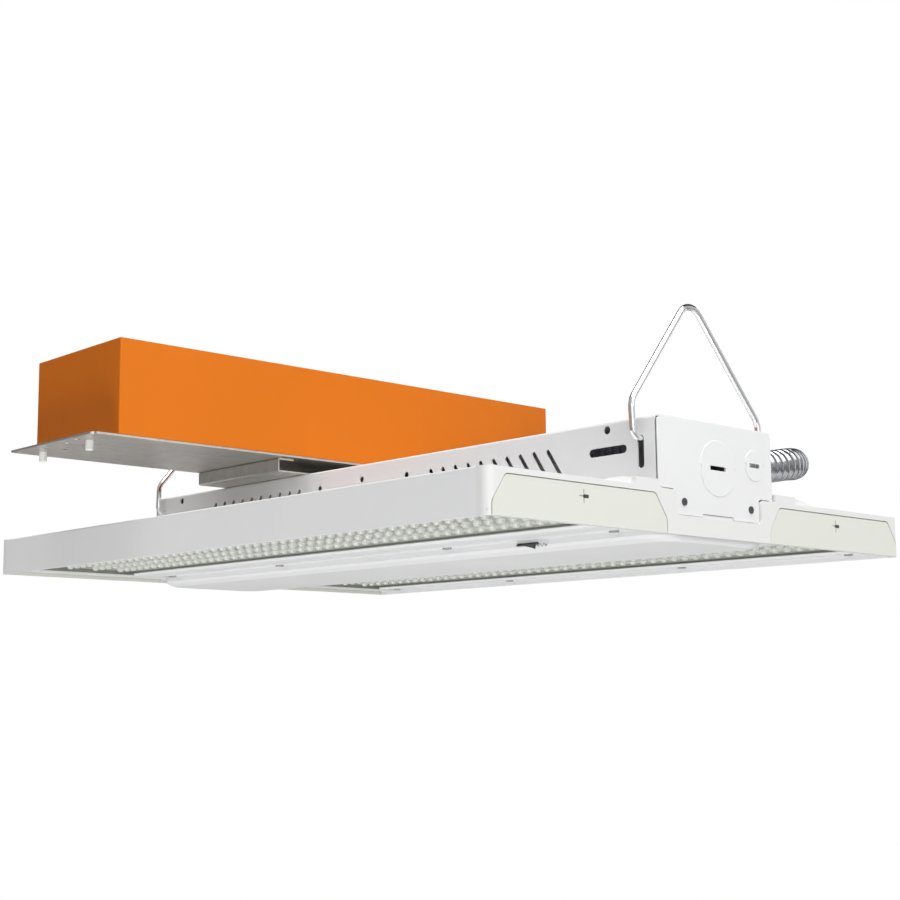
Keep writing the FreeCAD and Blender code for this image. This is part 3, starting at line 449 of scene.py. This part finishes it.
class Surface(Enum):
    """The finishes, by the record's material slots and by what only the looks have."""

    # White polyester powder on folded steel: even, satin, soft highlights on folds.
    white_steel = PowderCoat("white_powder_coat", "EDEDEE", 0.42)
    # White ABS caps: a touch glossier than the coat, so that their edges shine.
    white_cap = MouldedPlastic("white_abs", "E6E6E5", 0.34, ior=1.53)
    # Off-white acetal inserts: warmer and faintly green beside the caps.
    panel_offwhite = MouldedPlastic("offwhite_acetal", "E0E2D9", 0.45, ior=1.48)
    # Clear acrylic lens sheet: glassy, with the white boards behind it.
    clear_lens = ClearAcrylic("clear_acrylic", "D6D8D1", 0.12, ior=1.49, edge_mm=0.2)
    # Bare rolled aluminium of the trays and driver cases: pale and streaky.
    aluminium = RolledSheet("rolled_aluminium", "D5D7D9", 0.38, metallic=1.0,
                            along=(0.02, 1.0, 1.0), dark="B4B7BA")
    # White solder mask on the boards: flat and slightly glossy.
    led_board = MouldedPlastic("white_solder_mask", "E8EAE4", 0.40, grain_mm=3.0)
    # Blackened spring steel: dark with a low sheen.
    dark_steel = PlatedMetal("blackened_steel", "4A4A4C", 0.38, dark="38383A")
    # Grey polyamide of the terminal block: dull, with the mould's fine grain.
    terminal_plastic = MouldedPlastic("grey_polyamide", "A9ACB0", 0.5)
    # Bright zinc on drawn wire: clean and near to a mirror.
    zinc_wire = Finish("zinc_plated_wire", "F2F3F4", 0.05, metallic=1.0, edge_mm=0.9)
    # Zinc screws that read as grey dots in the white sheet.
    white_screws = PlatedMetal("zinc_plated_screw", "C4C5C7", 0.35, metallic=1.0,
                               dark="8E8F91")
    # Passivated zinc fasteners on the battery's bracket: paler, with a soft shine.
    zinc_screws = PlatedMetal("passivated_zinc", "B9BCC0", 0.30, metallic=1.0)
    # Galvanised sheet of the tray and bracket: warm grey, faint spangle.
    galvanised_steel = RolledSheet("galvanised_sheet", "D9D6D0", 0.36, metallic=1.0,
                                   dark="AFACA6")
    # Natural nylon pegs: milky white and soft.
    peg_plastic = MouldedPlastic("natural_nylon", "EDEDE8", 0.45)
    # Orange powder coat on the battery's case: smooth satin, with little mirror gloss.
    orange_case = PowderCoat("orange_powder_coat", "D06D0F", 0.36, ior=1.28,
                             peel_mm=2.0, shade="CA690D")
    # Zinc die casting of the connectors: grey, softly grainy.
    connector_zinc = PlatedMetal("zinc_die_casting", "A6A8AB", 0.36, metallic=1.0)
    # Galvanised strip of the conduit: bright bands with a satin gloss.
    conduit_steel = Finish("galvanised_strip", "A4A5A8", 0.2, metallic=1.0, edge_mm=0.1)
    # Phosphor of the chips: pale yellow and dull.
    phosphor = MouldedPlastic("phosphor", "E9DF9A", 0.6, grain_mm=0.5)

    def material(self) -> bpy.types.Material:
        """Gives this finish's material, which is built once."""
        return bpy.data.materials.get(self.value.name) or self.value.material()


# ------------------------------------------------------------------ meshes

def add_piece(name: str, shape: bmesh.types.BMesh, surface: Surface,
              body: str, smooth: bool = False) -> bpy.types.Object:
    """Turns a bmesh into a finished piece that rides on a CAD body.

    Args:
        name: the piece's name.
        shape: the mesh, in the CAD frame's axes; it is freed here.
        surface: its finish.
        body: the CAD body that carries it.
        smooth: whether its faces are shaded smooth.

    Returns:
        The new object.
    """
    mesh = bpy.data.meshes.new(name)
    shape.normal_update()
    shape.to_mesh(mesh)
    shape.free()
    for face in mesh.polygons:
        face.use_smooth = smooth
    piece = bpy.data.objects.new(name, mesh)
    bpy.context.scene.collection.objects.link(piece)
    mesh.materials.append(surface.material())
    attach(piece, body)
    LOG.info("%s: %d faces", name, len(mesh.polygons))
    return piece


def mirror_y(shape: bmesh.types.BMesh) -> None:
    """Turns a shape over to the other side of the light, with its faces outwards."""
    bmesh.ops.scale(shape, vec=(1, -1, 1), verts=shape.verts)
    bmesh.ops.reverse_faces(shape, faces=shape.faces)


def add_box(shape: bmesh.types.BMesh, low: Vector,
            high: Vector) -> list[bmesh.types.BMVert]:
    """Adds a box between two corners.

    Args:
        shape: the bmesh that gets it.
        low: lowest corner.
        high: highest corner.

    Returns:
        Its vertices.
    """
    place = Matrix.Translation((low + high) / 2) @ Matrix.Diagonal((*(high - low), 1))
    return bmesh.ops.create_cube(shape, size=1, matrix=place)["verts"]


def edges_of(verts: list[bmesh.types.BMVert]) -> list[bmesh.types.BMEdge]:
    """Gives every edge that touches one of the vertices, once and in their order."""
    return list(dict.fromkeys(edge for vert in verts for edge in vert.link_edges))


@dataclass
class LensPanel:
    """A clear lens panel with its rows of collimators, and the chips behind it.

    Attributes:
        rows_y: distance of each row from the light's middle.
        pitch: from one collimator to the next.
        count: collimators in a row.
        rim: radius where a collimator leaves the sheet.
        tip: radius of its flat tip.
        tip_round: how far the tip's edge is rounded.
        depth: how far it hangs below the sheet.
        bite: how far it sinks into the sheet.
        facets: sides of a collimator.
        sheet: thickness of the sheet.
        edge_round: how far the edges of sheet and skirt are rounded.
        wall: thickness of the skirt that it stands on.
        lift: how far the skirt ends above its lowest point, to clear the grooves.
        smooth_area: faces smaller than this, in square metres, are shaded smooth.
        chip: width of a chip.
        chip_height: how far a chip stands out of its board.
    """

    rows_y: tuple[float, ...] = (0.1196, 0.1452, 0.1708)
    pitch: float = 0.01094
    count: int = 50
    rim: float = 0.0034
    tip: float = 0.0020
    tip_round: float = 0.0009
    depth: float = 0.0022
    bite: float = 0.0001
    facets: int = 14
    sheet: float = 0.0020
    edge_round: float = 0.0003
    wall: float = 0.0025
    lift: float = 0.0010
    smooth_area: float = 2e-6
    chip: float = 0.0030
    chip_height: float = 0.0007

    def places(self) -> list[tuple[float, float]]:
        """Gives x and y of every collimator."""
        first = 0.5 - self.count / 2
        return [((first + i) * self.pitch, y)
                for i in range(self.count) for y in self.rows_y]

    def collimator(self, shape: bmesh.types.BMesh, x: float, y: float,
                   z: float) -> None:
        """Adds one collimator that hangs from the sheet.

        Args:
            shape: the bmesh that gets it.
            x: its place along the light.
            y: its place across the light.
            z: height of the sheet's lower face.
        """
        middle = z - self.depth / 2 + self.bite
        verts = bmesh.ops.create_cone(
            shape, cap_ends=True, segments=self.facets, radius1=self.tip,
            radius2=self.rim, depth=self.depth,
            matrix=Matrix.Translation((x, y, middle)))["verts"]
        tip_edges = [edge for edge in edges_of(verts)
                     if all(vert.co.z < middle for vert in edge.verts)]
        bmesh.ops.bevel(shape, geom=tip_edges, affect="EDGES", offset=self.tip_round,
                        segments=3, profile=0.5, material=-1)

    def skirt_runs(self, left: float, right: float, inner: float, outer: float
                   ) -> list[tuple[tuple[float, float], tuple[float, float]]]:
        """Gives the four walls under the sheet's edge, in plan.

        Args:
            left: the sheet's lowest x.
            right: its highest x.
            inner: its edge near the light's middle.
            outer: its edge far from the light's middle.

        Returns:
            For each wall, two opposite corners.
        """
        wall = self.wall
        return [((left, inner), (right, inner + wall)),
                ((left, outer - wall), (right, outer)),
                ((left, inner + wall), (left + wall, outer - wall)),
                ((right - wall, inner + wall), (right, outer - wall))]

    def build(self, node: str, side: int) -> bpy.types.Object:
        """Builds the detailed panel that stands for a CAD one.

        Args:
            node: the CAD node's name.
            side: 1 for the back wing, -1 for the front one.

        Returns:
            The panel.
        """
        low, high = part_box(node)
        outer, inner = max(abs(low.y), abs(high.y)), min(abs(low.y), abs(high.y))
        z = high.z - self.sheet
        shape = bmesh.new()
        verts = add_box(shape, Vector((low.x, inner, z)),
                        Vector((high.x, outer, high.z)))
        for start, stop in self.skirt_runs(low.x, high.x, inner, outer):
            verts += add_box(shape, Vector((*start, low.z + self.lift)),
                             Vector((*stop, z)))
        bmesh.ops.bevel(shape, geom=edges_of(verts), affect="EDGES",
                        offset=self.edge_round, segments=2, profile=0.5, material=-1)
        for x, y in self.places():
            self.collimator(shape, x, y, z)
        if side < 0:
            mirror_y(shape)
        panel = add_piece(node + "_detailed", shape, Surface.clear_lens,
                          "fixture")
        for face in panel.data.polygons:
            face.use_smooth = face.area < self.smooth_area
        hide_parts(node)
        return panel

    def chips(self, boards: str, side: int) -> bpy.types.Object:
        """Builds the chips under the boards, one above each collimator.

        Args:
            boards: the CAD node of the boards.
            side: 1 for the back wing, -1 for the front one.

        Returns:
            The chips, as one piece.
        """
        low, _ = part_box(boards)
        half = self.chip / 2
        face = low.z - self.chip_height
        shape = bmesh.new()
        for x, y in self.places():
            add_box(shape, Vector((x - half, side * y - half, face)),
                    Vector((x + half, side * y + half, low.z)))
        return add_piece(boards + "_chips", shape, Surface.phosphor,
                         "fixture")


@dataclass
class Conduit:
    """The flexible metal conduit: a strip wound into a helix of rounded bands.

    Attributes:
        diameter: over the bands.
        groove: how deep the seam between two bands is.
        sharpness: the power by which a band falls into its seam.
        pitch: width of a band.
        sides: points around a ring.
        steps: rings in a band's width.
        fineness: steps in each span of the route's curve.
        order: the curve's order; 3 makes it quadratic.
        route_mm: the points that the conduit's curve follows.
    """

    diameter: float = 0.0244
    groove: float = 0.0021
    sharpness: int = 3
    pitch: float = 0.0075
    sides: int = 40
    steps: int = 9
    fineness: int = 64
    order: int = 3
    route_mm: tuple[tuple[float, float, float], ...] = (
        (258.0, 88.0, 67.0), (258.0, 110.0, 67.0), (257.5, 147.0, 74.0),
        (235.0, 185.0, 79.0), (195.0, 203.0, 84.0), (148.0, 201.5, 91.0),
        (100.0, 196.5, 101.0), (53.0, 191.5, 113.0), (6.0, 190.0, 119.0),
        (-38.4, 190.0, 119.0))

    def centreline(self) -> list[Vector]:
        """Gives points along the route's smooth curve.

        Returns:
            The points, in the CAD frame's axes.
        """
        curve = bpy.data.curves.new("conduit_route", "CURVE")
        curve.dimensions = "3D"
        curve.resolution_u = self.fineness
        spline = curve.splines.new("NURBS")
        spline.points.add(len(self.route_mm) - 1)
        for point, place in zip(spline.points, self.route_mm):
            point.co = (*(Vector(place) * MM), 1)
        spline.order_u = self.order
        spline.use_endpoint_u = True
        holder = bpy.data.objects.new("conduit_route", curve)
        bpy.context.scene.collection.objects.link(holder)
        bpy.context.view_layer.update()
        mesh = bpy.data.meshes.new_from_object(holder)
        points = [v.co.copy() for v in mesh.vertices]
        bpy.data.objects.remove(holder)
        bpy.data.meshes.remove(mesh)
        return points

    def stations(self, points: list[Vector]) -> tuple[list[Vector], float]:
        """Places rings at even steps along the curve.

        Args:
            points: the curve's points.

        Returns:
            The rings' centres and the curve's length.
        """
        total = sum((b - a).length for a, b in zip(points, points[1:]))
        count = round(total / self.pitch * self.steps)
        centres, walked, k = [points[0]], 0.0, 0
        for i in range(1, count):
            target = total * i / count
            while walked + (points[k + 1] - points[k]).length < target:
                walked += (points[k + 1] - points[k]).length
                k += 1
            run = points[k + 1] - points[k]
            centres.append(points[k] + run * ((target - walked) / run.length))
        return centres + [points[-1]], total

    def radius(self, turns: float) -> float:
        """Gives the surface's radius at a place counted in turns of the helix."""
        seam = abs((turns % 1.0) - 0.5) * 2
        return self.diameter / 2 - self.groove * seam ** self.sharpness

    def next_ring(self, shape: bmesh.types.BMesh,
                  ring: list[bmesh.types.BMVert]) -> list[bmesh.types.BMVert]:
        """Extrudes the tube's open end.

        Args:
            shape: the tube so far.
            ring: the vertices of its open end, in order around it.

        Returns:
            The vertices of the new end, in the same order.
        """
        edges = [edge for edge in edges_of(ring)
                 if all(vert in ring for vert in edge.verts)]
        grown = bmesh.ops.extrude_edge_only(shape, edges=edges)["geom"]
        new = {tuple(g.co): g for g in grown if isinstance(g, bmesh.types.BMVert)}
        return [new[tuple(vert.co)] for vert in ring]

    def build(self, node: str) -> bpy.types.Object:
        """Builds the wound tube that stands for the CAD one.

        Args:
            node: the CAD node's name.

        Returns:
            The tube.
        """
        centres, length = self.stations(self.centreline())
        shape = bmesh.new()
        along = (centres[1] - centres[0]).normalized()
        turn = along.to_track_quat("Z", "Y").to_matrix()
        ring = bmesh.ops.create_circle(shape, segments=self.sides, radius=1.0)["verts"]
        last = len(centres) - 1
        for i, centre in enumerate(centres):
            ahead = (centres[min(i + 1, last)] - centres[max(i - 1, 0)]).normalized()
            turn = along.rotation_difference(ahead).to_matrix() @ turn
            along = ahead
            if i:
                ring = self.next_ring(shape, ring)
            for k, vert in enumerate(ring):
                angle = 2 * math.pi * k / self.sides
                reach = self.radius(i / self.steps - k / self.sides)
                flat = Vector((math.cos(angle), math.sin(angle), 0)) * reach
                vert.co = centre + turn @ flat
        bmesh.ops.recalc_face_normals(shape, faces=shape.faces)
        tube = add_piece(node + "_wound", shape, Surface.conduit_steel,
                         "fixture", smooth=True)
        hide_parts(node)
        LOG.info("conduit length %.3f m", length)
        return tube


@dataclass
class CoverLatch:
    """The wavy return wire beside the cover's spring latch.

    Attributes:
        wire: diameter of the wire.
        sides: points around the wire.
        length: how far it runs along the cover.
        wave: half height of its waves.
        waves: number of waves.
        steps: straight pieces in a wave.
        root: where it starts, from the latch's high x, middle y and low z.
    """

    wire: float = 0.0009
    sides: int = 8
    length: float = 0.011
    wave: float = 0.0009
    waves: int = 3
    steps: int = 12
    root: tuple[float, float, float] = (-0.001, -0.0005, 0.0026)

    def height(self, step: int) -> float:
        """Gives how far the wire has risen after a number of steps."""
        return self.wave * math.sin(2 * math.pi * step / self.steps)

    def build(self, latch: str) -> bpy.types.Object:
        """Builds the wire from the latch's end along the cover's rim.

        Args:
            latch: the CAD node of the latch.

        Returns:
            The wire.
        """
        low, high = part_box(latch)
        start = Vector((high.x, (low.y + high.y) / 2, low.z)) + Vector(self.root)
        place = Matrix.Translation(start) @ Matrix.Rotation(math.pi / 2, 4, "Y")
        shape = bmesh.new()
        ring = bmesh.ops.create_circle(shape, segments=self.sides, cap_ends=True,
                                       radius=self.wire / 2, matrix=place)["verts"]
        face = ring[0].link_faces[0]
        count = self.waves * self.steps
        for i in range(1, count + 1):
            step = Vector((self.length / count, 0, self.height(i) - self.height(i - 1)))
            grown = bmesh.ops.extrude_face_region(shape, geom=[face])["geom"]
            verts = [g for g in grown if isinstance(g, bmesh.types.BMVert)]
            bmesh.ops.delete(shape, geom=[face], context="FACES_ONLY")
            bmesh.ops.translate(shape, vec=step, verts=verts)
            face = next(g for g in grown if isinstance(g, bmesh.types.BMFace))
        bmesh.ops.holes_fill(shape, edges=[e for e in shape.edges if e.is_boundary])
        bmesh.ops.recalc_face_normals(shape, faces=shape.faces)
        return add_piece("cover_latch_wire", shape, Surface.zinc_screws,
                         "fixture", smooth=True)


# ------------------------------------------------------------------ room

def aimed(place: tuple[float, float, float], towards: Vector) -> Matrix:
    """Gives the placing of a camera or a lamp that looks along a direction."""
    turn = towards.to_track_quat("-Z", "Y").to_matrix().to_4x4()
    return Matrix.Translation(place) @ turn


@dataclass(frozen=True)
class Lamp:
    """A square area light that faces the object.

    Attributes:
        name: its name.
        place: where it stands.
        size: its side.
        power: its power in watts.
        target: the point that it faces.
    """

    name: str
    place: tuple[float, float, float]
    size: float
    power: float
    target: tuple[float, float, float] = (0, 0, 0.05)

    def hang(self) -> None:
        """Adds the light to the scene."""
        data = bpy.data.lights.new(self.name, "AREA")
        data.size = self.size
        data.energy = self.power
        lamp = bpy.data.objects.new(self.name, data)
        bpy.context.scene.collection.objects.link(lamp)
        lamp.matrix_world = aimed(self.place, Vector(self.target) - Vector(self.place))


@dataclass
class Studio:
    """Camera, lights, backdrop and floor.

    Attributes:
        eye: the camera's place.
        heading: its direction in plan, in radians from +X.
        rise: how far it looks up, in radians.
        lens_mm: focal length.
        sensor_mm: width of the sensor.
        shift: the frame's shift, in frame widths.
        sight: how far the camera sees.
        ambient: strength of the light from all round.
        glow: how much it grows towards each axis.
        flag: where the dark flag stands that gives bright metal its dark edges.
        flag_edge: where the flag's soft edge starts and ends, as a share of facing it.
        flag_dark: what is left of the light in the flag's middle.
        floor_drop: how far the floor lies below the light.
        floor_reach: half the floor's width.
        floor_finish: the floor's matt pale paint.
        lamps: the lamps.
    """

    eye: tuple[float, float, float] = (0.9425, -0.8697, -0.1001)
    heading: float = 2.445
    rise: float = 0.143
    lens_mm: float = 62.57
    sensor_mm: float = 36
    shift: tuple[float, float] = (0.1182, 0.0215)
    sight: float = 200
    ambient: float = 0.44
    glow: tuple[float, float, float] = (0.12, 0.16, 0.26)
    flag: tuple[float, float, float] = (-0.60, 0.70, 0.38)
    flag_edge: tuple[float, float] = (0.15, 0.55)
    flag_dark: float = 0.06
    floor_drop: float = 2.3
    floor_reach: float = 10.0
    floor_finish: Finish = Finish("pale_floor", "F2F2F2", 0.9)
    lamps: tuple[Lamp, ...] = (
        Lamp("side", (1.75, -0.1, 1.3), 1.5, 20),
        Lamp("card", (2.0, -1.2, 0.25), 1.8, 9),
        Lamp("low_front", (0.3, -0.9, -1.45), 1.0, 17),
        Lamp("top", (0.3, -0.3, 2.3), 1.4, 40),
        Lamp("left_rear", (-2.2, 0.3, 0.6), 1.5, 5),
        Lamp("right_rear", (0.2, 2.2, 0.6), 1.5, 9))

    def camera(self) -> None:
        """Sets up the camera."""
        data = bpy.data.cameras.new("camera")
        data.lens = self.lens_mm
        data.sensor_width = self.sensor_mm
        data.shift_x, data.shift_y = self.shift
        data.clip_end = self.sight
        camera = bpy.data.objects.new("camera", data)
        bpy.context.scene.collection.objects.link(camera)
        ahead = Vector((math.cos(self.rise) * math.cos(self.heading),
                        math.cos(self.rise) * math.sin(self.heading),
                        math.sin(self.rise)))
        camera.matrix_world = aimed(self.eye, ahead)
        bpy.context.scene.camera = camera

    def cast(self, tree: bpy.types.NodeTree) -> bpy.types.NodeSocket:
        """Makes the soft light from all round, with the flag's dark patch in it.

        Args:
            tree: the world's node tree.

        Returns:
            The light's strength by direction.
        """
        way = add_node(tree, "ShaderNodeTexCoord").outputs["Generated"]
        lean = add_node(tree, "ShaderNodeVectorMath", {0: way, 1: self.glow},
                        operation="DOT_PRODUCT")
        power = add_node(tree, "ShaderNodeMath", {
            0: lean.outputs["Value"], 1: self.ambient}, operation="ADD")
        facing = add_node(tree, "ShaderNodeVectorMath", {0: way, 1: self.flag},
                          operation="DOT_PRODUCT")
        let_by = add_node(tree, "ShaderNodeMapRange", {
            "Value": facing.outputs["Value"], "From Min": self.flag_edge[0],
            "From Max": self.flag_edge[1], "To Min": 1.0, "To Max": self.flag_dark},
            interpolation_type="SMOOTHSTEP")
        flagged = add_node(tree, "ShaderNodeMath", {
            0: power.outputs["Value"], 1: let_by.outputs["Result"]},
            operation="MULTIPLY")
        return flagged.outputs["Value"]

    def world(self) -> None:
        """Sets the white backdrop that is seen, and the soft light that is cast."""
        world = bpy.data.worlds.new("studio")
        bpy.context.scene.world = world
        world.use_nodes = True
        tree = world.node_tree
        tree.nodes.clear()
        seen = add_node(tree, "ShaderNodeBackground", {"Color": WHITE, "Strength": 1.0})
        cast = add_node(tree, "ShaderNodeBackground", {
            "Color": WHITE, "Strength": self.cast(tree)})
        path = add_node(tree, "ShaderNodeLightPath")
        mix = add_node(tree, "ShaderNodeMixShader", {
            0: path.outputs["Is Camera Ray"], 1: cast.outputs["Background"],
            2: seen.outputs["Background"]})
        add_node(tree, "ShaderNodeOutputWorld", {"Surface": mix.outputs["Shader"]})

    def floor(self) -> None:
        """Lays a pale floor far below the light, which hangs."""
        shape = bmesh.new()
        bmesh.ops.create_grid(shape, x_segments=1, y_segments=1, size=self.floor_reach,
                              matrix=Matrix.Translation((0, 0, -self.floor_drop)))
        mesh = bpy.data.meshes.new("floor")
        shape.to_mesh(mesh)
        shape.free()
        floor = bpy.data.objects.new("floor", mesh)
        bpy.context.scene.collection.objects.link(floor)
        mesh.materials.append(self.floor_finish.material())

    def build(self) -> None:
        """Builds the whole room, and keeps colours as they are instead of filmic."""
        bpy.context.scene.view_settings.view_transform = "Standard"
        self.camera()
        self.world()
        self.floor()
        for lamp in self.lamps:
            lamp.hang()
        LOG.info("studio with %d lamps", len(self.lamps))


@dataclass
class CadFinishes:
    """Gives every CAD node the material of its slot in the record.

    Attributes:
        nodes: the CAD nodes by name.
        slots: the material slot of each node.
    """

    nodes: dict[str, bpy.types.Object]
    slots: dict[str, str]

    def dress(self) -> None:
        """Assigns the materials."""
        for name, node in self.nodes.items():
            node.data.materials.clear()
            node.data.materials.append(Surface[self.slots[name]].material())
            LOG.info("%s: %s", name, self.slots[name])


def main() -> None:
    """Builds the room, then the conduit, then the rest."""
    logging.basicConfig(level=logging.INFO, format="%(name)s %(message)s")
    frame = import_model()
    Studio().build()
    Conduit().build("flex_conduit")
    slots = {part["node"]: part["material_slot"]
             for part in frame["record"]["subparts"]}
    CadFinishes(frame["nodes"], slots).dress()
    lens = LensPanel()
    for where, side in (("back", 1), ("front", -1)):
        lens.build("lens_panel_" + where, side)
        lens.chips("led_boards_" + where, side)
    CoverLatch().build("cover_latch")


if __name__ == "__main__":
    main()
